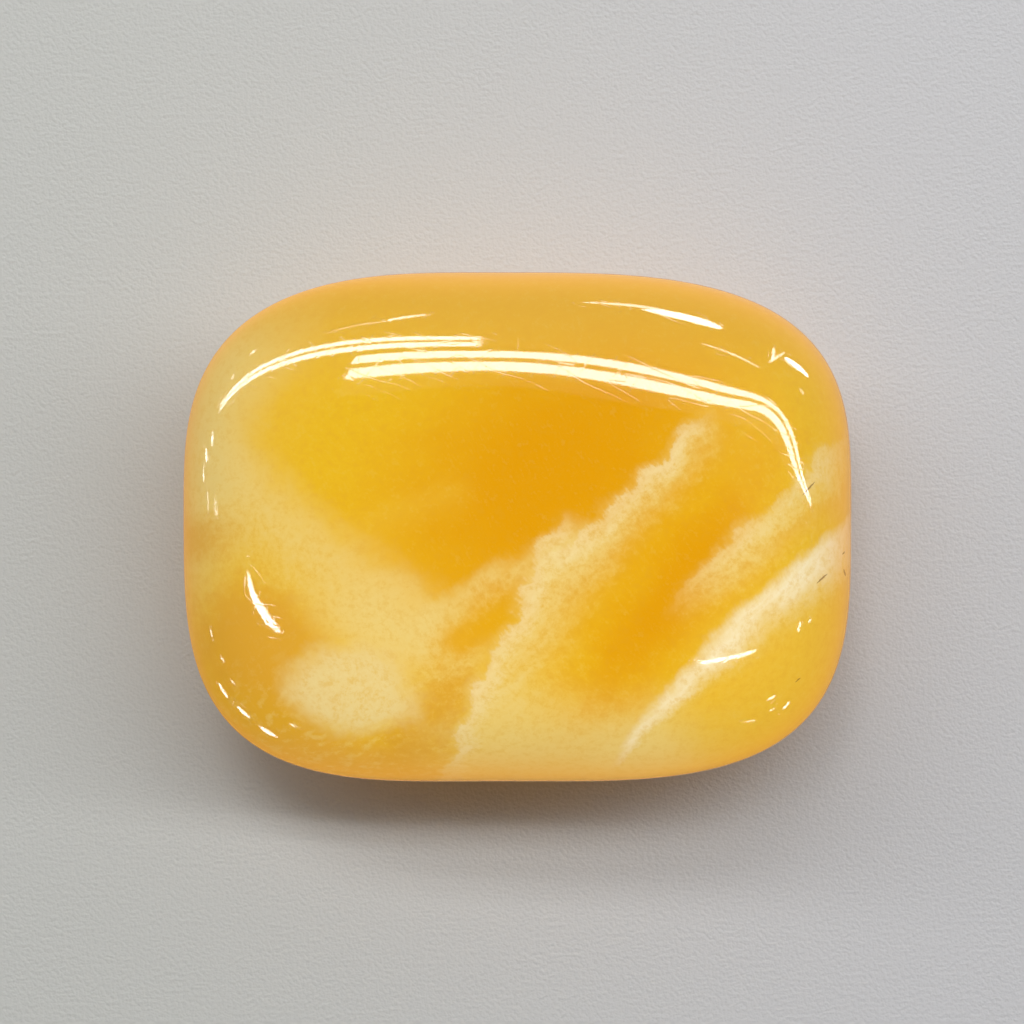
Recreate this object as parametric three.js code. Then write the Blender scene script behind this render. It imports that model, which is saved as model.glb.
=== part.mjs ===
// A polished orange calcite block, the kind that is kept in the palm of a hand.
// It is one piece of stone: a rounded rectangle seen from above, softly crowned on top and below,
// with rolled edges and a small flat spot underneath on which it rests.
// Millimetres, +Z up, origin under the middle of the block, on the surface that it rests on.
import * as THREE from "three";

// Overall size
const LENGTH = 70;
const WIDTH = 53.4;
const THICKNESS = 26;

// The outline is four quarters of a superellipse, which meet on two lines that cross at the hub.
// The hub lies a little left of the middle and a little behind it, because the block was cut by hand.
const LEFT_SHARE = 0.467; // of the length, from the hub to the left end
const BACK_SHARE = 0.459; // of the width, from the hub to the back
const SQUARENESS = { backLeft: 2.97, backRight: 3.23, frontLeft: 3.46, frontRight: 3.55 };

const REACH = {
  left: LENGTH * LEFT_SHARE,
  right: LENGTH * (1 - LEFT_SHARE),
  back: WIDTH * BACK_SHARE,
  front: WIDTH * (1 - BACK_SHARE),
};
const HUB_X = (REACH.left - REACH.right) / 2;
const HUB_Y = (REACH.front - REACH.back) / 2;

// The girdle is the widest level. It is high on the left and at the back, so the top rolls over
// quickly there, and low on the right and in front, so the top comes down in a longer, softer roll.
// A corner value is added halfway between two sides.
const GIRDLE_LEVEL = { left: 14.8, right: 9, back: 14.8, front: 8.8, corner: 2 };

// More tightness keeps a face flatter, and turns the edge over in less room.
const TOP_TIGHTNESS = { left: 4.2, right: 5.2, back: 5.5, front: 4.6, corner: -1 };
const UNDER_TIGHTNESS = { left: 5, right: 5, back: 5, front: 5, corner: 0 };

// The faces swell a little above and below what the rolled edges reach.
const TOP_CROWN = 2;
const UNDER_CROWN = 1.1;
const UNDER_DIP = 0.4; // cut off by the flat spot

// The starting grid is a cube. Its top and bottom are the two faces of the block, out to this share
// of the outline, and its four sides are the rolled edges.
const FACE_SHARE = 0.8;
const CELLS = { along: 36, across: 28, up: 18 };

// How far the outline lies from the hub in the direction (x, y), where one step outwards is length 1.
function outlineReach(x, y) {
  const a = x < 0 ? REACH.left : REACH.right;
  const b = y < 0 ? REACH.front : REACH.back;
  const squareness =
    y < 0
      ? x < 0 ? SQUARENESS.frontLeft : SQUARENESS.frontRight
      : x < 0 ? SQUARENESS.backLeft : SQUARENESS.backRight;
  const power = Math.abs(x / a) ** squareness + Math.abs(y / b) ** squareness;
  return power ** (-1 / squareness);
}

// A value that is given for the four sides, in the direction (x, y): a smooth mix of the two nearest sides.
function between(sides, x, y) {
  const endwise = x < 0 ? sides.left : sides.right;
  const sidewise = y < 0 ? sides.front : sides.back;
  return endwise * x * x + sidewise * y * y + sides.corner * 4 * x * x * y * y;
}

// Height of the upper or under side, at a share of the outline from the hub.
function surfaceHeight(isTop, share, girdle, tightness) {
  const roll = Math.sqrt(Math.max(0, 1 - share ** tightness));
  const swell = 1 - share * share;
  if (isTop) return girdle + (THICKNESS - TOP_CROWN - girdle) * roll + TOP_CROWN * swell;
  return girdle - (girdle - UNDER_CROWN + UNDER_DIP) * roll - UNDER_CROWN * swell;
}

// The share of the outline at a step up the rolled edge: 0 is the girdle and 1 is the face's rim.
function edgeShare(step, tightness) {
  const fullTurn = Math.acos(FACE_SHARE ** (tightness / 2));
  return Math.cos(fullTurn * step) ** (2 / tightness);
}

// Moves a point of the cube's skin onto the block.
function placeOnBlock(point) {
  const ring = Math.max(Math.abs(point.x), Math.abs(point.y));
  const heading = new THREE.Vector2(
    point.x * (point.x < 0 ? REACH.left : REACH.right),
    point.y * (point.y < 0 ? REACH.front : REACH.back),
  );
  if (ring > 0) heading.normalize();
  else heading.set(1, 0); // any heading will do at the hub

  const isTop = point.z > 0;
  const girdle = between(GIRDLE_LEVEL, heading.x, heading.y);
  const tightness = between(isTop ? TOP_TIGHTNESS : UNDER_TIGHTNESS, heading.x, heading.y);
  const onFace = Math.abs(point.z) === 1;
  const share = onFace ? FACE_SHARE * ring : edgeShare(Math.abs(point.z), tightness);
  const reach = share * outlineReach(heading.x, heading.y);
  const height = surfaceHeight(isTop, share, girdle, tightness);

  // The flat spot is where the underside would dip below the surface that the block rests on.
  point.set(HUB_X + heading.x * reach, HUB_Y + heading.y * reach, Math.max(0, height));
}

function calciteBlock() {
  const geometry = new THREE.BoxGeometry(2, 2, 2, CELLS.along, CELLS.across, CELLS.up);
  geometry.deleteAttribute("normal");
  geometry.deleteAttribute("uv");
  const places = geometry.getAttribute("position");
  const point = new THREE.Vector3();
  for (let i = 0; i < places.count; i++) {
    point.fromBufferAttribute(places, i);
    placeOnBlock(point);
    places.setXYZ(i, point.x, point.y, point.z);
  }
  geometry.computeVertexNormals();
  const polishedStone = new THREE.MeshStandardMaterial({ color: 0xe6b040, roughness: 0.12, metalness: 0 });
  const block = new THREE.Mesh(geometry, polishedStone);
  block.name = "calcite_block";
  return block;
}

const part = new THREE.Group();
part.add(calciteBlock());

export default part;
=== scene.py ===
# %% [markdown]
# # A polished block of orange calcite
#
# The object is one stone, cut to a rounded rectangle that fills the palm, and polished until it
# mirrors the lamps above it. It is honey-coloured where it is clear and cream where fine cloudy
# sheets run through it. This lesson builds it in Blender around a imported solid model: first the
# camera, then the stone's shape by Geometry Nodes, then its finish by shader node groups, and at
# the end the board that it lies on and the lamps that it mirrors.

# %% Load the solid model
import math

import bpy
from mathutils import Matrix, Vector
from mathutils.bvhtree import BVHTree


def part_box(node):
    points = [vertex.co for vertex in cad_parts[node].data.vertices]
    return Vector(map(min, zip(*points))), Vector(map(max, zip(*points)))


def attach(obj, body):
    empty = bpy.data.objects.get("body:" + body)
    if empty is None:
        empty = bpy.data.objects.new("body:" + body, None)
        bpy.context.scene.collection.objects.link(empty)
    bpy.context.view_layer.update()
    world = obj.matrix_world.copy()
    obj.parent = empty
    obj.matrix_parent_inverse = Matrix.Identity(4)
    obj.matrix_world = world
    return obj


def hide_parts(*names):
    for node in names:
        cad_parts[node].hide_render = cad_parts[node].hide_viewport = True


SOLID_BLOCK = "calcite_block"
MM = 0.001  # a millimetre, in Blender's metres

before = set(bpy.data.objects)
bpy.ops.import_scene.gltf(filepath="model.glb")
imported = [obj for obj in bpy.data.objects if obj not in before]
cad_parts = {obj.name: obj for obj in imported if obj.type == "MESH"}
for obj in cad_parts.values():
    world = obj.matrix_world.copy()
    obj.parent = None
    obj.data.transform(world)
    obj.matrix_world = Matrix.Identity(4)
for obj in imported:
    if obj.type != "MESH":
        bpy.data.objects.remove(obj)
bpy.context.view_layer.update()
low_corner, high_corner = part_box(SOLID_BLOCK)
LENGTH, WIDTH, THICKNESS = (high_corner - low_corner) / MM
print(f"The solid block is {LENGTH:.1f} by {WIDTH:.1f} by {THICKNESS:.1f} mm")

# %% [markdown]
# ## The camera
#
# A palm stone is most often photographed from straight above, at reading distance. How near the
# camera stands matters even so: it decides how much of the rolled edges can be seen. A lens is
# named by its length, but what one can measure is the width of table that the picture takes in,
# so the lens is worked out from that width and from the camera's height.

# %% Camera
CAMERA_HEIGHT = 300  # millimetres over the board, like all lengths here
VIEW_WIDTH = 112  # of the board that the picture takes in
VIEW_CENTRE = (-0.87, 1.80)
SENSOR_WIDTH = 36

camera_data = bpy.data.cameras.new("camera")
camera_data.sensor_width = SENSOR_WIDTH
camera_data.lens = SENSOR_WIDTH * CAMERA_HEIGHT / VIEW_WIDTH
camera_data.clip_start = 0.01
camera = bpy.data.objects.new("camera", camera_data)
camera.location = Vector((*VIEW_CENTRE, CAMERA_HEIGHT)) * MM
bpy.context.scene.collection.objects.link(camera)
bpy.context.scene.camera = camera
print(f"The lens is {camera_data.lens:.1f} mm long")

# %% [markdown]
# ## Arithmetic in node trees
#
# Both the shape and the finish follow formulas, and a formula in a node tree is a long chain of
# Math nodes. Wiring those by hand hides the formula, so a small class stands for "a number in a
# tree": Python's own arithmetic on it adds the Math nodes, and a formula can be read as one.

# %% Numbers in node trees
class Number:
    """A number in a node tree, on which Python's arithmetic adds Math nodes."""

    def __init__(self, tree, socket):
        self.tree = tree
        self.socket = socket

    def __add__(self, other):
        return calculate(self.tree, "ADD", self, other)

    def __radd__(self, other):
        return calculate(self.tree, "ADD", other, self)

    def __sub__(self, other):
        return calculate(self.tree, "SUBTRACT", self, other)

    def __rsub__(self, other):
        return calculate(self.tree, "SUBTRACT", other, self)

    def __mul__(self, other):
        return calculate(self.tree, "MULTIPLY", self, other)

    def __rmul__(self, other):
        return calculate(self.tree, "MULTIPLY", other, self)

    def __truediv__(self, other):
        return calculate(self.tree, "DIVIDE", self, other)

    def __rtruediv__(self, other):
        return calculate(self.tree, "DIVIDE", other, self)

    def __pow__(self, other):
        return calculate(self.tree, "POWER", self, other)

    def __lt__(self, other):
        return calculate(self.tree, "LESS_THAN", self, other)

    def __gt__(self, other):
        return calculate(self.tree, "GREATER_THAN", self, other)

    def __abs__(self):
        return calculate(self.tree, "ABSOLUTE", self)


def plug(tree, value, socket):
    """Links a number or a socket to a node's socket, or sets that socket to a plain value."""
    if isinstance(value, Number):
        tree.links.new(value.socket, socket)
    elif isinstance(value, bpy.types.NodeSocket):
        tree.links.new(value, socket)
    else:
        socket.default_value = value


def calculate(tree, operation, *values):
    node = tree.nodes.new("ShaderNodeMath")
    node.operation = operation
    for value, socket in zip(values, node.inputs):
        plug(tree, value, socket)
    return Number(tree, node.outputs[0])


def smooth_step(value, start, end, first=0.0, last=1.0):
    """First up to start and last from end on, with a smooth change between them."""
    node = value.tree.nodes.new("ShaderNodeMapRange")
    node.interpolation_type = "SMOOTHSTEP"
    sockets = {"Value": value, "From Min": start, "From Max": end, "To Min": first, "To Max": last}
    for name, given in sockets.items():
        plug(value.tree, given, node.inputs[name])
    return Number(value.tree, node.outputs["Result"])


def falling_step(value, start, end):
    """1 up to start and 0 from end on."""
    return smooth_step(value, start, end, 1.0, 0.0)


def between(share, first, second):
    """The first value at share 0, and the second at share 1."""
    return first + (second - first) * share


def vector(tree, x, y, z=0.0):
    node = tree.nodes.new("ShaderNodeCombineXYZ")
    for value, socket in zip((x, y, z), node.inputs):
        plug(tree, value, socket)
    return node.outputs[0]


def parts_of(tree, vector_socket):
    """The x, y and z of a vector, as numbers."""
    node = tree.nodes.new("ShaderNodeSeparateXYZ")
    tree.links.new(vector_socket, node.inputs[0])
    return [Number(tree, socket) for socket in node.outputs]


def on_vectors(tree, operation, *values, scale=None):
    """A Vector Math node. Returns a number if that is what the operation gives, or else a socket."""
    node = tree.nodes.new("ShaderNodeVectorMath")
    node.operation = operation
    for value, socket in zip(values, node.inputs):
        plug(tree, value, socket)
    if scale is not None:
        plug(tree, scale, node.inputs["Scale"])
    if operation in ("DOT_PRODUCT", "LENGTH"):
        return Number(tree, node.outputs["Value"])
    return node.outputs["Vector"]


SEED_SHIFT = (13.7, 5.1, 9.3)  # how far a noise's pattern moves per unit of seed


def noise(tree, place, size, seed, detail=2.0, roughness=0.5):
    """Soft noise from -1 to 1. Its lumps are about as wide as size, in the unit of place."""
    shifted = on_vectors(tree, "ADD", place, on_vectors(tree, "SCALE", SEED_SHIFT, scale=seed))
    node = tree.nodes.new("ShaderNodeTexNoise")
    given = {"Vector": shifted, "Scale": 1 / size, "Detail": detail, "Roughness": roughness}
    for name, value in given.items():
        plug(tree, value, node.inputs[name])
    return Number(tree, node.outputs["Fac"]) * 2 - 1


SOCKET_KINDS = {float: "Float", int: "Int", tuple: "Vector", type(None): "Geometry"}


def new_group(name, kind, inputs, outputs):
    """A node tree with named sockets. Returns it, its inputs as numbers or sockets, and its end."""
    tree = bpy.data.node_groups.new(name, kind)
    for label, value in inputs.items():
        kind_name = "Material" if label == "Material" else SOCKET_KINDS[type(value)]
        socket = tree.interface.new_socket(label, in_out="INPUT", socket_type="NodeSocket" + kind_name)
        if isinstance(value, (float, int, tuple)):
            socket.default_value = value
    for label, kind_name in outputs.items():
        tree.interface.new_socket(label, in_out="OUTPUT", socket_type="NodeSocket" + kind_name)
    start = tree.nodes.new("NodeGroupInput")
    end = tree.nodes.new("NodeGroupOutput")
    given = {}
    for label, value in inputs.items():
        socket = start.outputs[label]
        given[label] = Number(tree, socket) if isinstance(value, (float, int)) else socket
    return tree, given, end


# %% [markdown]
# ## The shape of the block
#
# A stone like this is sawn to a brick, ground by hand against a wheel and polished, so no two of
# its corners are quite alike and its faces swell a little. One could sculpt that, but the block
# follows a rule: four quarters of a superellipse seen from above, with elliptical rolls from the
# widest level, the girdle, up to the top and down to the underside. So it is made by a Geometry
# Nodes tree. It starts from a cube grid, whose top and bottom become the two faces and whose
# sides become the rolled edge, and it moves every point by the formula. A cube grid has no pole,
# so no point of the polish pinches.
#
# No wheel leaves a perfect surface. The tree adds the faint waves that grinding leaves, a few
# thousandths of a millimetre deep: they can't be seen by themselves, but the lamps' mirror images
# waver because of them. It also adds two low swells, at a corner and at an end, where the wheel
# took less away. There the mirror images turn sharply.

# %% The block's sizes, in millimetres
LEFT_SHARE = 0.467  # of the length, from the hub of the outline to its left end
BACK_SHARE = 0.459  # of the width, from the hub to the back
SQUARENESS = {"back left": 2.97, "back right": 3.23, "front left": 3.46, "front right": 3.55}
GIRDLE_LEVEL = {"left": 14.8, "right": 9.0, "back": 14.8, "front": 8.8, "corner": 2.0}
TOP_TIGHTNESS = {"left": 4.2, "right": 5.2, "back": 5.5, "front": 4.6, "corner": -1.0}
UNDER_TIGHTNESS = {"left": 5.0, "right": 5.0, "back": 5.0, "front": 5.0, "corner": 0.0}
REACH = {
    "left": LENGTH * LEFT_SHARE,
    "right": LENGTH * (1 - LEFT_SHARE),
    "back": WIDTH * BACK_SHARE,
    "front": WIDTH * (1 - BACK_SHARE),
}
BLOCK_SIZES = {
    "Thickness": THICKNESS,
    "Top crown": 2.0,
    "Under crown": 1.1,
    "Under dip": 0.4,
    "Face share": 0.8,
    "Hub x": (REACH["left"] - REACH["right"]) / 2,
    "Hub y": (REACH["front"] - REACH["back"]) / 2,
    "Wave depth": 0.005,
    "Wave width": 7.0,
    "Wave seed": 4.0,
    "Corner swell place": (25.9, 14.6, 0.0),
    "Corner swell width": 2.6,
    "Corner swell height": 0.16,
    "End swell place": (30.1, 3.0, 0.0),
    "End swell width": 2.75,
    "End swell height": 0.2,
}
GROUPS_OF_SIZES = {
    "Reach": REACH,
    "Squareness": SQUARENESS,
    "Girdle": GIRDLE_LEVEL,
    "Top tightness": TOP_TIGHTNESS,
    "Under tightness": UNDER_TIGHTNESS,
}
for group, sizes in GROUPS_OF_SIZES.items():
    BLOCK_SIZES.update({f"{group} {side}": size for side, size in sizes.items()})
CELLS = {"Points along": 169, "Points across": 131, "Points up": 85}
print(f"The block's tree takes {len(BLOCK_SIZES) + len(CELLS)} sizes and counts")


# %% The formula of the block
def pick(condition, if_true, otherwise):
    """One of two numbers, by a condition that is 1 or 0."""
    return between(condition, otherwise, if_true)


def outline_reach(given, x, y):
    """How far the outline lies from the hub, in the direction (x, y)."""
    is_left, is_front = x < 0, y < 0
    a = pick(is_left, given["Reach left"], given["Reach right"])
    b = pick(is_front, given["Reach front"], given["Reach back"])
    in_front = pick(is_left, given["Squareness front left"], given["Squareness front right"])
    behind = pick(is_left, given["Squareness back left"], given["Squareness back right"])
    squareness = pick(is_front, in_front, behind)
    return (abs(x / a) ** squareness + abs(y / b) ** squareness) ** (-1 / squareness)


def by_side(given, group, x, y):
    """A smooth mix of a group's values for the sides that the direction (x, y) points to."""
    endwise = pick(x < 0, given[f"{group} left"], given[f"{group} right"])
    sidewise = pick(y < 0, given[f"{group} front"], given[f"{group} back"])
    return endwise * x * x + sidewise * y * y + given[f"{group} corner"] * 4 * x * x * y * y


def surface_height(given, is_top, share, girdle, tightness):
    """Height of the upper or the under side, at a share of the outline from the hub."""
    roll = calculate(share.tree, "SQRT", calculate(share.tree, "MAXIMUM", 1 - share**tightness, 0))
    swell = 1 - share * share
    rise = given["Thickness"] - given["Top crown"] - girdle
    top = girdle + rise * roll + given["Top crown"] * swell
    drop = girdle - given["Under crown"] + given["Under dip"]
    under = girdle - drop * roll - given["Under crown"] * swell
    return calculate(share.tree, "MAXIMUM", pick(is_top, top, under), 0)


def edge_share(given, step, tightness):
    """The share of the outline at a step up the rolled edge, from the girdle to the face's rim."""
    face = given["Face share"] ** (tightness / 2)
    full_turn = calculate(step.tree, "ARCCOSINE", face)
    return calculate(step.tree, "COSINE", full_turn * step) ** (2 / tightness)


def place_on_block(tree, given, cube_point):
    """Where a point of the cube's skin, from -1 to 1, goes on the block."""
    x, y, z = parts_of(tree, cube_point)
    ring = calculate(tree, "MAXIMUM", abs(x), abs(y))
    long_x = x * pick(x < 0, given["Reach left"], given["Reach right"])
    long_y = y * pick(y < 0, given["Reach front"], given["Reach back"])
    size = calculate(tree, "SQRT", long_x * long_x + long_y * long_y)
    at_hub = size < 0.0001
    heading_x = long_x / (size + at_hub) + at_hub  # any heading will do at the hub
    heading_y = long_y / (size + at_hub)

    is_top = z > 0
    girdle = by_side(given, "Girdle", heading_x, heading_y)
    top = by_side(given, "Top tightness", heading_x, heading_y)
    under = by_side(given, "Under tightness", heading_x, heading_y)
    tightness = pick(is_top, top, under)
    on_face = abs(z) > 0.9999
    share = pick(on_face, given["Face share"] * ring, edge_share(given, abs(z), tightness))
    reach = share * outline_reach(given, heading_x, heading_y)
    height = surface_height(given, is_top, share, girdle, tightness)
    place = given["Hub x"] + heading_x * reach, given["Hub y"] + heading_y * reach, height
    return vector(tree, *(number * MM for number in place))


# %% The block's Geometry Nodes tree
def add_node(tree, kind, **inputs):
    """Adds a node. An input's name is the socket's, with _ for each space."""
    node = tree.nodes.new(kind)
    for name, value in inputs.items():
        plug(tree, value, node.inputs[name.replace("_", " ")])
    return node


def millimetres(tree, place):
    return on_vectors(tree, "SCALE", place, scale=1 / MM)


def swell(tree, given, name, place):
    """A low round swelling on the top, as high as its height and a few widths across."""
    x, y, z = parts_of(tree, place)
    centre_x, centre_y, _ = parts_of(tree, given[f"{name} swell place"])
    width = given[f"{name} swell width"]
    off_x, off_y = (x - centre_x) / width, (y - centre_y) / width
    bell = calculate(tree, "EXPONENT", (off_x * off_x + off_y * off_y) * -0.5)
    return bell * given[f"{name} swell height"] * smooth_step(z, THICKNESS * 0.3, THICKNESS * 0.6)


def hand_ground(tree, given):
    """How far each point stands off the formula. The flat spot, ground on a plate, has no waves."""
    place = millimetres(tree, tree.nodes.new("GeometryNodeInputPosition").outputs[0])
    waves = noise(tree, place, given["Wave width"], given["Wave seed"], detail=1.0)
    off_the_flat = smooth_step(parts_of(tree, place)[2], 0.1, 1.5)
    swells = swell(tree, given, "Corner", place) + swell(tree, given, "End", place)
    return waves * off_the_flat * given["Wave depth"] + swells


def block_tree():
    inputs = {**BLOCK_SIZES, **CELLS, "Material": None}
    tree, given, end = new_group("Calcite block", "GeometryNodeTree", inputs, {"Geometry": "Geometry"})
    cube = add_node(
        tree,
        "GeometryNodeMeshCube",
        Size=(2, 2, 2),
        Vertices_X=given["Points along"],
        Vertices_Y=given["Points across"],
        Vertices_Z=given["Points up"],
    )
    cube_point = tree.nodes.new("GeometryNodeInputPosition").outputs[0]
    block = add_node(
        tree,
        "GeometryNodeSetPosition",
        Geometry=cube.outputs["Mesh"],
        Position=place_on_block(tree, given, cube_point),
    )

    normal = tree.nodes.new("GeometryNodeInputNormal").outputs[0]
    offset = on_vectors(tree, "SCALE", normal, scale=hand_ground(tree, given) * MM)
    ground = add_node(tree, "GeometryNodeSetPosition", Geometry=block.outputs[0], Offset=offset)

    smooth = add_node(tree, "GeometryNodeSetShadeSmooth", Geometry=ground.outputs[0])
    real = add_node(tree, "GeometryNodeRealizeInstances", Geometry=smooth.outputs[0])
    finished = add_node(
        tree, "GeometryNodeSetMaterial", Geometry=real.outputs[0], Material=given["Material"]
    )
    tree.links.new(finished.outputs[0], end.inputs["Geometry"])
    return tree


# %% Make the block
def mesh_from_tree(name, tree, values):
    """Runs a Geometry Nodes tree once and keeps what it makes as a plain mesh object."""
    carrier = bpy.data.objects.new(name + "_tree", bpy.data.meshes.new(name + "_tree"))
    bpy.context.scene.collection.objects.link(carrier)
    modifier = carrier.modifiers.new("tree", "NODES")
    modifier.node_group = tree
    for item in tree.interface.items_tree:
        if item.item_type == "SOCKET" and item.in_out == "INPUT":
            modifier[item.identifier] = values[item.name]
    bpy.context.view_layer.update()
    evaluated = carrier.evaluated_get(bpy.context.evaluated_depsgraph_get())
    mesh = bpy.data.meshes.new_from_object(evaluated)
    bpy.data.objects.remove(carrier)
    mesh.name = name
    mesh.materials.clear()
    mesh.materials.append(values["Material"])
    mesh.polygons.foreach_set("material_index", [0] * len(mesh.polygons))
    piece = bpy.data.objects.new(name, mesh)
    bpy.context.scene.collection.objects.link(piece)
    return piece


orange_calcite = bpy.data.materials.new("orange_calcite")
orange_calcite.use_nodes = True
sizes = {**BLOCK_SIZES, **CELLS, "Material": orange_calcite}
block = mesh_from_tree("polished_calcite_block", block_tree(), sizes)
triangles = sum(len(polygon.vertices) - 2 for polygon in block.data.polygons)
print(f"The block has {triangles} triangles and measures {block.dimensions / MM} mm")

# %% [markdown]
# ## Cloudy sheets and clouds
#
# Calcite grows in layers. Some are clear, and some hold so many tiny bubbles that they turn white.
# The saw cuts across them, so on the polished face each cloudy layer shows as a band. One of its
# edges is where the growth stopped: it is bright and frayed into hairs. On the other side it fades
# away. That is one recipe used many times, so it is a node group, the veil, which is given the two
# ends of its bright edge. The veil leans as it goes down into the stone, so it also runs on down
# the rolled edges and across the underside. A second group makes the patches that have no such
# edge.

# %% Veils
def shader_group(name, inputs, outputs):
    return new_group(name, "ShaderNodeTree", inputs, {label: "Float" for label in outputs})


def along_and_across(tree, given, lean=0.0):
    """Millimetres along the line from From to To, and to the left of it, and the line's length."""
    run = on_vectors(tree, "SUBTRACT", given["To"], given["From"])
    ahead = on_vectors(tree, "NORMALIZE", run)
    left = on_vectors(tree, "CROSS_PRODUCT", (0, 0, 1), ahead)
    leaning = on_vectors(tree, "ADD", left, vector(tree, 0.0, 0.0, lean))
    offset = on_vectors(tree, "SUBTRACT", given["Place"], given["From"])
    along = on_vectors(tree, "DOT_PRODUCT", offset, ahead)
    across = on_vectors(tree, "DOT_PRODUCT", offset, leaning)
    return along, across, on_vectors(tree, "LENGTH", run)


def sheet(distance, edge_width, fade_width):
    """1 just right of an edge, from which it fades away to the right."""
    return falling_step(distance, 0 - edge_width, edge_width) * smooth_step(distance, 0 - fade_width, 0)


def veil_group():
    """A cloudy sheet: its haze, and the bright line along its edge."""
    inputs = {
        "Place": (0.0, 0.0, 0.0),
        "From": (0.0, 0.0, 0.0),
        "To": (1.0, 0.0, 0.0),
        "Bow": 0.0,
        "Lean": 0.05,
        "Edge width": 0.4,
        "Fade width": 4.0,
        "Line edge": 0.3,
        "Line width": 2.0,
        "Widening": 0.0,
        "End fade": 4.0,
        "Fray": 0.0,
    }
    tree, given, end = shader_group("Veil", inputs, ["Haze", "Line"])
    along, across, length = along_and_across(tree, given, given["Lean"])
    share = along / length
    distance = across - share * (1 - share) * (given["Bow"] * 4) + given["Fray"]
    widening = 1 + given["Widening"] * (2 * share - 1)
    ends = smooth_step(along, 0, given["End fade"])
    ends = ends * falling_step(along, length - given["End fade"], length)
    haze = sheet(distance, given["Edge width"], given["Fade width"] * widening) * ends
    line = sheet(distance, given["Line edge"], given["Line width"] * widening) * ends
    plug(tree, haze, end.inputs["Haze"])
    plug(tree, line, end.inputs["Line"])
    return tree


# %% Clouds and strokes
def cloud_group():
    """An elliptical patch with a soft and frayed border."""
    inputs = {
        "Place": (0.0, 0.0, 0.0),
        "Centre": (0.0, 0.0, 0.0),
        "Turn": 0.0,
        "Length": 5.0,
        "Width": 3.0,
        "Softness": 0.6,
        "Fray": 0.0,
    }
    tree, given, end = shader_group("Cloud", inputs, ["Mask"])
    turn = given["Turn"] * (math.pi / 180)
    cosine, sine = calculate(tree, "COSINE", turn), calculate(tree, "SINE", turn)
    lengthwise = vector(tree, cosine / given["Length"], sine / given["Length"])
    sidewise = vector(tree, 0 - sine / given["Width"], cosine / given["Width"])
    offset = on_vectors(tree, "SUBTRACT", given["Place"], given["Centre"])
    along = on_vectors(tree, "DOT_PRODUCT", offset, lengthwise)
    across = on_vectors(tree, "DOT_PRODUCT", offset, sidewise)
    shorter = calculate(tree, "MINIMUM", given["Length"], given["Width"])
    distance = on_vectors(tree, "LENGTH", vector(tree, along, across)) + given["Fray"] / shorter
    mask = falling_step(distance, 1 - given["Softness"], 1 + given["Softness"])
    plug(tree, mask, end.inputs["Mask"])
    return tree


def stroke_group():
    """A short stroke on the surface, thickest in its middle."""
    inputs = {
        "Place": (0.0, 0.0, 0.0),
        "From": (0.0, 0.0, 0.0),
        "To": (1.0, 0.0, 0.0),
        "Half width": 0.1,
        "Fray": 0.0,
    }
    tree, given, end = shader_group("Stroke", inputs, ["Mask"])
    along, across, length = along_and_across(tree, given)
    share = along / length * 2 - 1
    half_width = given["Half width"] * calculate(tree, "MAXIMUM", 1 - share * share, 0)
    distance = abs(across + given["Fray"])
    mask = falling_step(distance, half_width * 0.5, half_width + 0.01)
    on_top = parts_of(tree, given["Place"])[2] > THICKNESS / 3
    inside = abs(share) < 1
    plug(tree, mask * inside * on_top, end.inputs["Mask"])
    return tree


VEIL = veil_group()
CLOUD = cloud_group()
STROKE = stroke_group()
print(f"A veil takes {len(VEIL.nodes)} nodes, a cloud {len(CLOUD.nodes)}, a stroke {len(STROKE.nodes)}")

# %% [markdown]
# ## Colours and layers
#
# The colour of the stone is painted in layers, as a restorer would do it: clear honey first, then
# each pale or brown layer over what is there. A layer is a colour and a mask that says where it
# lies. The colours are named, and given as a screen shows them, because that is how one picks them.

# %% Colours and layers
def display(red, green, blue):
    """A colour as a screen shows it, from 0 to 255, in Blender's linear light."""

    def linear(value):
        share = value / 255
        return share / 12.92 if share <= 0.04045 else ((share + 0.055) / 1.055) ** 2.4

    return (linear(red), linear(green), linear(blue), 1.0)


DEEP_AMBER = display(209, 144, 3)
AMBER = display(213, 155, 14)
HONEY = display(217, 171, 30)
LIGHT_HONEY = display(218, 173, 54)
# Painted shade: a darker honey for the band along the back rim.
SHADED_HONEY = display(209, 158, 42)
BROWN_AMBER = display(207, 152, 44)
# Painted rim light: a peach for the steep sides and the front rim, standing for light passed through
# the stone and the room mirrored there.
RIM_LIGHT_PEACH = display(214, 158, 60)
CREAM = display(219, 191, 114)
BLOB_CREAM = display(218, 194, 130)
WHITE_CREAM = display(229, 212, 170)
NICK_BROWN = display(120, 80, 40)
BLACK = display(0, 0, 0)
MIX_SHARE, MIX_FIRST, MIX_SECOND, MIX_RESULT = 0, 6, 7, 2  # the Mix node's sockets for colours


def use_group(tree, group, **values):
    """Places a group, and returns its outputs as numbers, or the number if it has only one."""
    node = tree.nodes.new("ShaderNodeGroup")
    node.node_tree = group
    for name, value in values.items():
        plug(tree, value, node.inputs[name.replace("_", " ")])
    numbers = [Number(tree, socket) for socket in node.outputs]
    return numbers if len(numbers) > 1 else numbers[0]


def lay(below, colour, mask, strength=1.0):
    """Lays a colour over what is below, where the mask says so."""
    tree = mask.tree
    node = tree.nodes.new("ShaderNodeMix")
    node.data_type = "RGBA"
    plug(tree, mask * strength, node.inputs[MIX_SHARE])
    plug(tree, below, node.inputs[MIX_FIRST])
    plug(tree, colour, node.inputs[MIX_SECOND])
    return node.outputs[MIX_RESULT]


def strands(tree, place, heading, length, width, seed, detail=2.0):
    """Noise from -1 to 1, drawn out into strands that lie at heading, in degrees from +X."""
    x, y, z = parts_of(tree, place)
    cosine, sine = math.cos(math.radians(heading)), math.sin(math.radians(heading))
    along = (x * cosine + y * sine) / length
    across = (y * cosine - x * sine) / width
    return noise(tree, vector(tree, along, across, z / width), 1.0, seed, detail)


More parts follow.
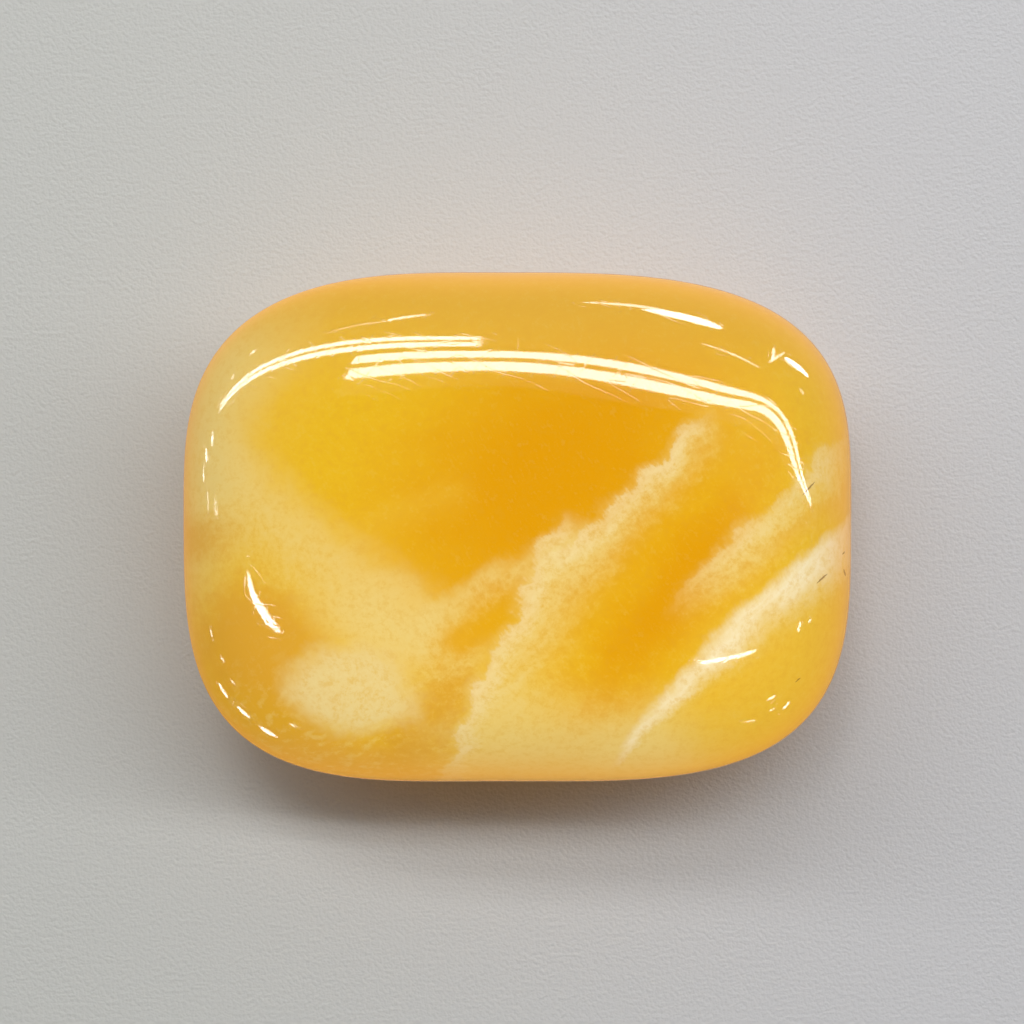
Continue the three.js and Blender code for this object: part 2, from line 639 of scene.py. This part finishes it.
# %% [markdown]
# ## Noises that all layers share
#
# Each noise costs render time, so a few are made once, and every layer is frayed by a mix of them.
# The places themselves are bent a little first, so that no layer's edge is a straight line.

# %% Shared noises
stone = orange_calcite.node_tree
coordinates = stone.nodes.new("ShaderNodeTexCoord").outputs["Object"]
stone_place = millimetres(stone, coordinates)
stone_x, stone_y, stone_z = parts_of(stone, stone_place)
bend_x = noise(stone, stone_place, size=9.0, seed=11.0, detail=1.0)
bend_y = noise(stone, stone_place, size=9.0, seed=12.0, detail=1.0)
bent = vector(stone, stone_x + bend_x, stone_y + bend_y, stone_z)
hairs = strands(stone, bent, heading=124, length=1.5, width=0.24, seed=21.0, detail=0.0)
streaks = strands(stone, bent, heading=44, length=6.0, width=0.9, seed=23.0, detail=2.0)
lumps = noise(stone, bent, size=3.6, seed=24.0, detail=3.0, roughness=0.62)
patches = noise(stone, bent, size=5.0, seed=26.0, detail=0.0) * 0.5 + 0.5
grain = noise(stone, bent, size=0.9, seed=25.0, detail=3.0, roughness=0.78)

# How far a layer's edge is pushed about, how wide it is, and how thick the layer lies.
ragged = lumps * 1.9 + hairs * 0.2 + grain * 0.8
torn = lumps * 2.2 + hairs * 0.2 + grain * 1.2
soft_edge = between(patches, 0.3, 1.8)
body = 0.80 + streaks * 0.4 + grain * 0.35
print(f"The shared noises take {len(stone.nodes)} nodes")


def veil(start, finish, **values):
    """A veil's haze and its bright line."""
    ends = {"From": (*start, THICKNESS), "To": (*finish, THICKNESS)}
    return use_group(stone, VEIL, Place=bent, **ends, **values)


def cloud(centre, length, width, turn=0, **values):
    shape = {"Centre": (*centre, 0), "Length": length, "Width": width, "Turn": turn}
    return use_group(stone, CLOUD, Place=bent, **shape, **values)


def stroke(start, finish, half_width, **values):
    line = {"From": (*start, 0), "To": (*finish, 0), "Half_width": half_width}
    return use_group(stone, STROKE, Place=stone_place, **line, **values)


# %% [markdown]
# ## The layers, from the clear stone upwards
#
# Each function lays one part of the pattern, or of the painted shade and painted rim light, over the
# colour that it is given. Places and lengths are in millimetres: the origin is the block's middle, x
# runs to the right end and y to the back. Three veils cross the middle and the right, with clear
# amber between each and the next.

# %% The clear stone, and the pale haze across its left side
def clear_stone():
    core = cloud((3.5, 5.5), 19, 11.5, 38, Softness=0.8, Fray=lumps * 3.0)
    colour = lay(HONEY, DEEP_AMBER, core)
    rising, _ = veil((-24, -1), (-4, 6), Edge_width=1.5, Fade_width=5, Fray=streaks * 1.5)
    return lay(colour, LIGHT_HONEY, rising, 0.4)


def left_side(colour):
    haze, _ = veil((-37, 12), (-1, -13), Lean=0.3, Edge_width=3.5, Fade_width=12, End_fade=5, Fray=torn)
    colour = lay(colour, CREAM, haze, 0.75 + grain * 0.35)
    shoulder = cloud((-33, 7), 15, 5, 80, Softness=0.8, Fray=lumps)
    colour = lay(colour, CREAM, shoulder, 0.85)
    top_left = cloud((-26, 19), 7, 3.5, 40, Softness=0.8, Fray=torn * 0.5)
    colour = lay(colour, CREAM, top_left, 0.5)
    brown_edge = cloud((-33.5, -0.5), 3.6, 2.2, 0, Softness=0.8, Fray=torn * 0.6)
    colour = lay(colour, BROWN_AMBER, brown_edge, 0.7)
    patch = cloud((-26.3, -11.2), 7.2, 5.2, -35, Softness=0.45, Fray=torn * 0.8)
    colour = lay(colour, BROWN_AMBER, patch, 0.95 + grain * 0.2)
    lower_patch = cloud((-26, -18), 9, 5, -42, Softness=0.5, Fray=torn * 0.8)
    return lay(colour, BROWN_AMBER, lower_patch, 0.75 + grain * 0.4)


# Painted shade and painted rim light: a darker honey band along the back rim and a peach band along the
# front rim. The mottled cream over the front is the stone's own pattern.
def rim_shade_light_and_mottling(colour):
    behind = cloud((4, 28.5), 42, 10.5, 0, Softness=0.5, Fray=streaks * 0.8)
    colour = lay(colour, SHADED_HONEY, behind, 0.9)
    front = cloud((-19, -28), 22, 6.4, -4, Softness=0.4, Fray=torn * 0.6)
    colour = lay(colour, RIM_LIGHT_PEACH, front, 0.85 + grain * 0.3)
    mottled = cloud((-15, -21), 17, 8, 0, Softness=0.5, Fray=lumps)
    return lay(colour, CREAM, mottled, smooth_step(grain * 0.6 + streaks, -0.1, 0.5) * 0.35)


# %% The pale blob and what lies round it
def round_the_blob(colour):
    halo = cloud((-14.1, -9.6), 6.0, 3.4, -22, Softness=0.7, Fray=torn * 0.8)
    colour = lay(colour, CREAM, halo, 0.7 + grain * 0.3)
    wedge = cloud((-9.2, -20), 6.5, 3.4, 55, Softness=0.5, Fray=torn * 0.6)
    colour = lay(colour, BROWN_AMBER, wedge, 0.8 - grain * 0.5)
    blob = cloud((-17.0, -16.3), 6.4, 4.0, -8, Softness=0.35, Fray=torn * 0.6)
    return lay(colour, BLOB_CREAM, blob, 0.85 + grain * 0.4)


def lobe(colour):
    band, _ = veil((-13, -11), (3, -1.2), Bow=0.6, Edge_width=1.2, Fade_width=4.2, Fray=ragged)
    colour = lay(colour, CREAM, band, body * 0.8)
    gap = cloud((-4.9, -10.1), 4.6, 1.5, 34, Softness=0.7, Fray=ragged * 0.5)
    return lay(colour, AMBER, gap, 0.9)


# %% The first veil, and the clear amber beside it
def first_veil(colour):
    foot = cloud((7, -24), 13, 7, 0, Softness=0.6, Fray=lumps * 2)
    colour = lay(colour, CREAM, foot, 0.9)
    lower_course = {"Bow": 1.2, "Fray": ragged, "Fade_width": 9.5, "Line_width": 2.6}
    upper_course = {"Bow": -1.0, "Fray": ragged, "Fade_width": 6.0, "Line_width": 2.6}
    lower = veil((-9.4, -31), (4.8, 2.6), Edge_width=soft_edge, **lower_course)
    upper = veil((0.6, -4.6), (18.8, 13), Edge_width=soft_edge, **upper_course)
    for haze, line in (lower, upper):
        colour = lay(colour, CREAM, haze, body)
        colour = lay(colour, WHITE_CREAM, line, between(patches, 0.05, 0.7) * body)
    return colour


def amber_lens(colour):
    outer = cloud((15.5, -6.5), 15, 5.6, 52, Softness=0.6, Fray=ragged)
    colour = lay(colour, AMBER, outer, 0.85)
    inner = cloud((15.5, -6), 10.5, 2.8, 52, Softness=0.7, Fray=ragged * 0.7)
    return lay(colour, DEEP_AMBER, inner, 0.95)


# %% The second and the third veil
def second_veil(colour):
    course = {"Bow": 0.8, "Widening": 0.4, "End_fade": 9, "Fray": ragged}
    haze, line = veil((13.7, -9), (37, 11.6), Edge_width=soft_edge, Fade_width=6.4, **course)
    colour = lay(colour, CREAM, haze, body)
    colour = lay(colour, WHITE_CREAM, line, patches * body * 0.5)
    behind, _ = veil((23, -2), (37, 6), Edge_width=1.0, Fade_width=2.8, End_fade=3, Fray=ragged)
    return lay(colour, AMBER, behind, 0.5)


def third_veil(colour):
    corner = cloud((27, -15), 10, 8, 40, Softness=0.6, Fray=lumps * 2)
    colour = lay(colour, LIGHT_HONEY, corner, 0.8)
    course = {"Bow": 3.2, "Widening": 0.85, "End_fade": 3, "Fray": ragged * 0.6}
    course.update({"Edge_width": soft_edge, "Fade_width": 5.6, "Line_edge": 1.0, "Line_width": 4.2})
    haze, line = veil((9.4, -25.4), (38.4, 2.6), **course)
    colour = lay(colour, CREAM, haze, body)
    return lay(colour, WHITE_CREAM, line, 0.95 + streaks * 0.6 + grain * 0.3)


# %% Fine texture, marks and painted rim light
facing_up = parts_of(stone, stone.nodes["Texture Coordinate"].outputs["Normal"])[2]
# The steep sides carry painted rim light: peach colour below, and an orange glow in the shader.
steep = falling_step(facing_up, 0.2, 0.85)


# Painted rim light: peach laid on the steep sides by their slope alone.
def painted_rim_light(colour):
    return lay(colour, RIM_LIGHT_PEACH, steep, 0.65)


def fine_texture(colour):
    colour = lay(colour, CREAM, smooth_step(grain + hairs * 0.2, 0.0, 0.5), 0.1)
    return lay(colour, BROWN_AMBER, falling_step(grain, -0.4, 0.1), 0.25)


def dark_nicks(colour):
    nicks = [
        ((28.6, 3.5), (30.0, 4.9), 0.12),
        ((30.2, -5.5), (31.5, -4.5), 0.11),
        ((33.5, -4.1), (33.8, -4.9), 0.12),
        ((33.3, -2.6), (33.7, -2.3), 0.1),
        ((28.1, -15.6), (28.7, -15.2), 0.08),
    ]
    for start, finish, half_width in nicks:
        colour = lay(colour, NICK_BROWN, stroke(start, finish, half_width, Fray=hairs * 0.05), 0.75)
    return colour


colour = lobe(round_the_blob(rim_shade_light_and_mottling(left_side(clear_stone()))))
colour = third_veil(second_veil(amber_lens(first_veil(colour))))
colour = dark_nicks(fine_texture(painted_rim_light(colour)))
print(f"The stone's colour takes {len(stone.nodes)} nodes")

# %% [markdown]
# ## Wear of the polish
#
# A stone that is carried about gets hairline scratches and a fine unevenness. None of it shows on
# the clear face, but the border of each mirrored lamp is fringed by it. So this finish is a height
# of about a thousandth of a millimetre, which bends the polish a little. A scratch is where a
# drawn-out noise passes through zero, because such a place is a long thin line.

# %% Wear
def level_line(value, half_width):
    """1 where a noise passes through zero, and 0 elsewhere."""
    return 1 - smooth_step(abs(value), 0.0, half_width)


def wear_group():
    """Height of the worn polish over a perfect one, in millimetres."""
    sizes = {"Ripple height": 0.0006, "Scratch depth": 0.0012, "Scratch share": 0.03}
    inputs = {"Place": (0.0, 0.0, 0.0), **sizes}
    tree, given, end = shader_group("Wear of the polish", inputs, ["Height"])
    place, share = given["Place"], given["Scratch share"]
    ripple = strands(tree, place, heading=50, length=0.5, width=0.17, seed=31.0, detail=0.0)
    along = strands(tree, place, heading=65, length=9.0, width=1.6, seed=34.0, detail=0.0)
    crossing = strands(tree, place, heading=-25, length=7.0, width=1.4, seed=35.0, detail=0.0)
    scratches = level_line(along, share) + level_line(crossing, share)
    height = ripple * given["Ripple height"] - scratches * given["Scratch depth"]
    plug(tree, height, end.inputs["Height"])
    return tree


WEAR = wear_group()
wear_height = use_group(stone, WEAR, Place=stone_place)
bump = stone.nodes.new("ShaderNodeBump")
bump.inputs["Distance"].default_value = MM
plug(stone, wear_height, bump.inputs["Height"])
print(f"The wear of the polish takes {len(WEAR.nodes)} nodes")

# %% [markdown]
# ## The stone's shader
#
# Polished calcite is a mirror over a coloured body, which is what the Principled shader is. Light
# that enters the top also wanders through the stone and leaves by its rolled edges, which turn a
# warm orange. To follow that light costs much render time, so the steep sides give off a little
# orange light of their own instead.

# %% The stone's shader
POLISH_ROUGHNESS = 0.035
CALCITE_IOR = 1.6
PASSED_LIGHT = (0.27, 0.11, 0.015, 1.0)

passed_light = lay(BLACK, PASSED_LIGHT, steep)
bsdf = stone.nodes["Principled BSDF"]
stone.links.new(colour, bsdf.inputs["Base Color"])
stone.links.new(bump.outputs["Normal"], bsdf.inputs["Normal"])
stone.links.new(passed_light, bsdf.inputs["Emission Color"])
bsdf.inputs["Roughness"].default_value = POLISH_ROUGHNESS
bsdf.inputs["IOR"].default_value = CALCITE_IOR
bsdf.inputs["Emission Strength"].default_value = 1.0
print(f"The finished stone's tree has {len(stone.nodes)} nodes and {len(stone.links)} links")

# %% [markdown]
# ## Lamps overhead
#
# Two rows of ceiling lamps light the block, one to the left and one to the right. Each row is a
# pair of strips, and the pair shows as two bright lines in the polish. The rows hang a little
# askew to the block, so their images run down to the right. A dim tray round the right-hand pair
# is there for the mirror image alone.

# %% Lamps overhead
LAMP_HEIGHT = 2.0  # metres over the board
ROW_SLANT = -0.09

# Places and widths are per metre of the lamps' height. The radiance is in watts per square metre
# and steradian.
LEFT_ROW = {"start": -4.4, "end": -0.04, "width": 0.075, "radiance": 15}
RIGHT_ROW = {"start": -0.34, "end": 7.0, "width": 0.08, "radiance": 13.5}
RIGHT_TRAY = {"start": -0.34, "end": 7.0, "width": 0.32, "radiance": 0.35}
LEFT_OFFSET, LEFT_HALF_GAP = 0.785, 0.06
RIGHT_OFFSET, RIGHT_HALF_GAP = 0.516, 0.063
TRAY_OFFSET = 0.47


def area_lamp(name, place, size, radiance, colour=(1, 1, 1)):
    data = bpy.data.lights.new(name, "AREA")
    data.shape = "RECTANGLE"
    data.size, data.size_y = size
    data.energy = radiance * math.pi * data.size * data.size_y
    data.color = colour
    lamp = bpy.data.objects.new(name, data)
    lamp.location = place
    lamp.visible_camera = False
    bpy.context.scene.collection.objects.link(lamp)
    return lamp


def lamp_row(name, start, end, offset, width, radiance):
    """A strip at the ceiling along y = offset + ROW_SLANT x, from x = start to x = end."""
    first = Vector((start, offset + ROW_SLANT * start, 1)) * LAMP_HEIGHT
    last = Vector((end, offset + ROW_SLANT * end, 1)) * LAMP_HEIGHT
    size = (last - first).length, width * LAMP_HEIGHT
    lamp = area_lamp(name, (first + last) / 2, size, radiance)
    lamp.rotation_euler = (0, 0, math.atan(ROW_SLANT))
    return lamp


def lights_only(lamp, *objects):
    """The lamp lights these objects alone, and only they can stand in its light."""
    group = bpy.data.collections.new(lamp.name + "_lights")
    for thing in objects:
        group.objects.link(thing)
    lamp.light_linking.receiver_collection = group
    lamp.light_linking.blocker_collection = group
    lamp.visible_glossy = False


for side in (-1, 1):
    lamp_row(f"left_lamp_{side}", offset=LEFT_OFFSET + side * LEFT_HALF_GAP, **LEFT_ROW)
    lamp_row(f"right_lamp_{side}", offset=RIGHT_OFFSET + side * RIGHT_HALF_GAP, **RIGHT_ROW)
tray = lamp_row("right_tray", offset=TRAY_OFFSET, **RIGHT_TRAY)
tray.visible_diffuse = False
print(f"{len(bpy.data.lights)} lamps hang {LAMP_HEIGHT} m over the board")

# %% [markdown]
# ## Where a mirrored lamp stands
#
# The short highlights round the rim are windows and small lamps far off. To find where such a lamp
# stands, one starts from where its image is wanted: a line of sight is followed from the camera to
# the polish and mirrored there, and the lamp is hung a few metres off in that direction. Some of
# these directions point a little below the board's level.

# %% Where a mirrored lamp stands
SIGHT_STEP = 0.5  # millimetres on the board, between the sights that give the polish's slope
FAR = 3.0  # metres from the block to a far lamp
polish = BVHTree.FromPolygons(
    [vertex.co for vertex in block.data.vertices],
    [polygon.vertices for polygon in block.data.polygons],
)


def seen(x, y):
    """The point of the polish that hides the board's point (x, y) from the camera."""
    sight = (Vector((x, y, 0)) * MM - camera.location).normalized()
    return polish.ray_cast(camera.location, sight)[0]


def mirrored(x, y):
    """The direction that the polish mirrors to the camera at the place where it hides (x, y)."""
    left, right = seen(x - SIGHT_STEP, y), seen(x + SIGHT_STEP, y)
    low, high = seen(x, y - SIGHT_STEP), seen(x, y + SIGHT_STEP)
    normal = (right - left).cross(high - low).normalized()
    sight = (seen(x, y) - camera.location).normalized()
    return sight - 2 * sight.dot(normal) * normal


def glint(start, finish, half_width, radiance):
    """A far lamp whose mirror image runs from start to finish. All lengths are where it shows."""
    first, last = mirrored(*start), mirrored(*finish)
    middle = (first + last).normalized()
    run = Vector(finish) - Vector(start)
    step = Vector((-run.y, run.x)).normalized() * half_width
    centre = (Vector(start) + Vector(finish)) / 2
    ahead = (last - first).normalized()
    across = mirrored(*(centre + step)) - mirrored(*(centre - step))
    across -= across.dot(ahead) * ahead
    size = (last - first).length * FAR, across.length * FAR
    lamp = area_lamp("far_lamp", middle * FAR, size, radiance)
    lamp.data.shape = "ELLIPSE"
    side = middle.cross(ahead).normalized()
    lamp.rotation_euler = Matrix((side.cross(middle), side, middle)).transposed().to_euler()
    lamp.visible_diffuse = False


# %% Windows and small lamps far off
RIM_RADIANCE = 10

glint((7.0, 24.7), (16.5, 23.7), 0.14, 7)
glint((13.5, 23.9), (22.2, 21.8), 0.36, 14)
glint((28.9, 18.6), (31.5, 16.6), 0.25, 14)
glint((27.8, 19.7), (27.5, 18.2), 0.12, 10)
glint((27.1, 18.1), (29.0, 19.2), 0.1, 8)
glint((30.5, 15.3), (31.0, 14.7), 0.07, 8)
glint((19.9, 20.2), (26.3, 17.5), 0.07, 9)
glint((-21.2, 21.3), (-14.0, 22.7), 0.07, 4)
glint((-15.0, 22.6), (-9.9, 23.4), 0.1, 10)
glint((-29.6, 18.9), (-28.9, 19.5), 0.07, 8)
glint((-31.5, 16.3), (-31.2, 16.9), 0.07, 6)
rim_glints = [
    ((-33.5, 10.6), (-33.7, 9.2), 0.12),
    ((-34.2, 8.8), (-34.3, 7.5), 0.14),
    ((-34.6, 6.4), (-34.5, 5.4), 0.08),
    ((-34.1, 4.1), (-34.1, 3.3), 0.1),
    ((-33.5, 3.0), (-33.0, 1.7), 0.14),
    ((-33.8, -11.0), (-33.6, -11.9), 0.06),
    ((-32.7, -13.9), (-32.3, -14.6), 0.07),
    ((-32.9, -16.9), (-31.9, -18.5), 0.12),
    ((-31.7, -16.5), (-31.1, -17.0), 0.06),
    ((-30.9, -19.4), (-29.6, -20.6), 0.16),
    ((-28.4, -21.6), (-26.8, -22.7), 0.2),
    ((-25.2, -21.3), (-24.4, -21.6), 0.06),
    ((31.8, -2.3), (31.8, -3.2), 0.1),
    ((30.3, -11.1), (30.7, -10.4), 0.18),
    ((31.5, -10.3), (31.8, -9.9), 0.12),
    ((27.0, -18.8), (27.9, -18.2), 0.08),
    ((28.8, -19.7), (29.4, -18.9), 0.12),
    ((24.5, -21.1), (25.7, -20.9), 0.06),
    ((27.3, -19.9), (27.9, -19.6), 0.05),
]
for start, finish, half_width in rim_glints:
    glint(start, finish, half_width, RIM_RADIANCE)
glint((-29.8, -4.8), (-28.9, -8.3), 0.25, 14)
glint((-29.4, -6.8), (-26.3, -11.3), 0.42, 16)
glint((19.2, -14.7), (25.9, -13.3), 0.2, 14)
print(f"With the far lamps there are {len(bpy.data.lights)} lamps")

# %% [markdown]
# ## Two helping lamps
#
# The ceiling lamps leave the front rim and the underside darker than a stone that light passes
# through would be. Two soft lamps make up for that. They light the block alone, and don't show in
# its polish.

# %% Helping lamps
FRONT_FILL_TILT = math.radians(59)
WARM = (1.0, 0.62, 0.25)

front_fill = area_lamp("front_fill", (0.05, -0.5, 0.3), (0.6, 0.4), radiance=4.0)
front_fill.rotation_euler = (FRONT_FILL_TILT, 0, 0)
lights_only(front_fill, block)
under_glow = area_lamp("under_glow", (0, 0, -0.06), (0.2, 0.2), radiance=0.8, colour=WARM)
under_glow.rotation_euler = (math.pi, 0, 0)
lights_only(under_glow, block)
print(f"Two helping lamps light {block.name} alone")

# %% [markdown]
# ## The board
#
# The block lies on pale grey card with a fine grain. The card's colour is painted a little darker
# and warmer towards the left, as painted shade. The card is left out of mirror images, which keeps
# the colour of the rolled edges deep, and casts no shadow, so the far lamps below its level show in
# the polish too.

# %% The board
BOARD_REACH = 3.0  # metres from the middle to each side
# Painted shade: the card is darker and warmer on the left than on the right.
SHADED_BOARD_LEFT = display(189, 190, 186)
LIT_BOARD_RIGHT = display(194, 194, 196)
PULP_SHADE = display(160, 160, 158)
PULP_SIZE = 0.42  # millimetres, like the height
PULP_HEIGHT = 0.04
BOARD_ROUGHNESS = 0.6


def finish_board(material):
    tree = material.node_tree
    bsdf = tree.nodes["Principled BSDF"]
    place = millimetres(tree, tree.nodes.new("ShaderNodeTexCoord").outputs["Object"])
    pulp = noise(tree, place, PULP_SIZE, seed=41.0, detail=1.0, roughness=0.6)
    colour = lay(SHADED_BOARD_LEFT, LIT_BOARD_RIGHT, smooth_step(parts_of(tree, place)[0], -50, 50))
    colour = lay(colour, PULP_SHADE, smooth_step(pulp, 0.0, 0.9), 0.14)
    bump = tree.nodes.new("ShaderNodeBump")
    bump.inputs["Distance"].default_value = PULP_HEIGHT * MM
    plug(tree, pulp, bump.inputs["Height"])
    plug(tree, colour, bsdf.inputs["Base Color"])
    plug(tree, bump.outputs["Normal"], bsdf.inputs["Normal"])
    bsdf.inputs["Roughness"].default_value = BOARD_ROUGHNESS


board_corners = [(x * BOARD_REACH, y * BOARD_REACH, 0) for x, y in ((-1, -1), (1, -1), (1, 1), (-1, 1))]
board_mesh = bpy.data.meshes.new("board")
board_mesh.from_pydata(board_corners, [], [(0, 1, 2, 3)])
board_material = bpy.data.materials.new("board")
board_material.use_nodes = True
finish_board(board_material)
board_mesh.materials.append(board_material)
board = bpy.data.objects.new("board", board_mesh)
bpy.context.scene.collection.objects.link(board)
board.visible_glossy = False
board.visible_shadow = False
print(f"The board is {board.dimensions.x:.0f} m wide")

# %% [markdown]
# ## The room
#
# The rest of the room is plain grey light. It comes mostly from behind the block, so the soft shadow
# falls in front of it. It is dark in front and straight above, where the clear stone mirrors it.

# %% The room
ROOM_IN_FRONT = 0.03
ROOM_BEHIND = 0.4
ROOM_ABOVE = 0.03
WHITE = (1, 1, 1, 1)

room = bpy.data.worlds.new("room")
bpy.context.scene.world = room
room.use_nodes = True
room_tree = room.node_tree
direction = room_tree.nodes.new("ShaderNodeTexCoord").outputs["Generated"]
_, backwards, upwards = parts_of(room_tree, direction)
above = smooth_step(upwards, 0.8, 0.95)
behind = smooth_step(backwards, -0.6, 0.6)
brightness = between(above, between(behind, ROOM_IN_FRONT, ROOM_BEHIND), ROOM_ABOVE)
background = room_tree.nodes["Background"]
plug(room_tree, brightness, background.inputs["Strength"])
background.inputs["Color"].default_value = WHITE
bpy.context.scene.view_settings.view_transform = "Standard"
print(f"The room is {ROOM_BEHIND / ROOM_IN_FRONT:.0f} times as bright behind the block as in front")

# %% [markdown]
# ## Join the frame
#
# The block takes the place of the solid model and rides on the part's only body. Its material slot
# is named for the stone.

# %% Join the frame
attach(block, "root")
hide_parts(SOLID_BLOCK)
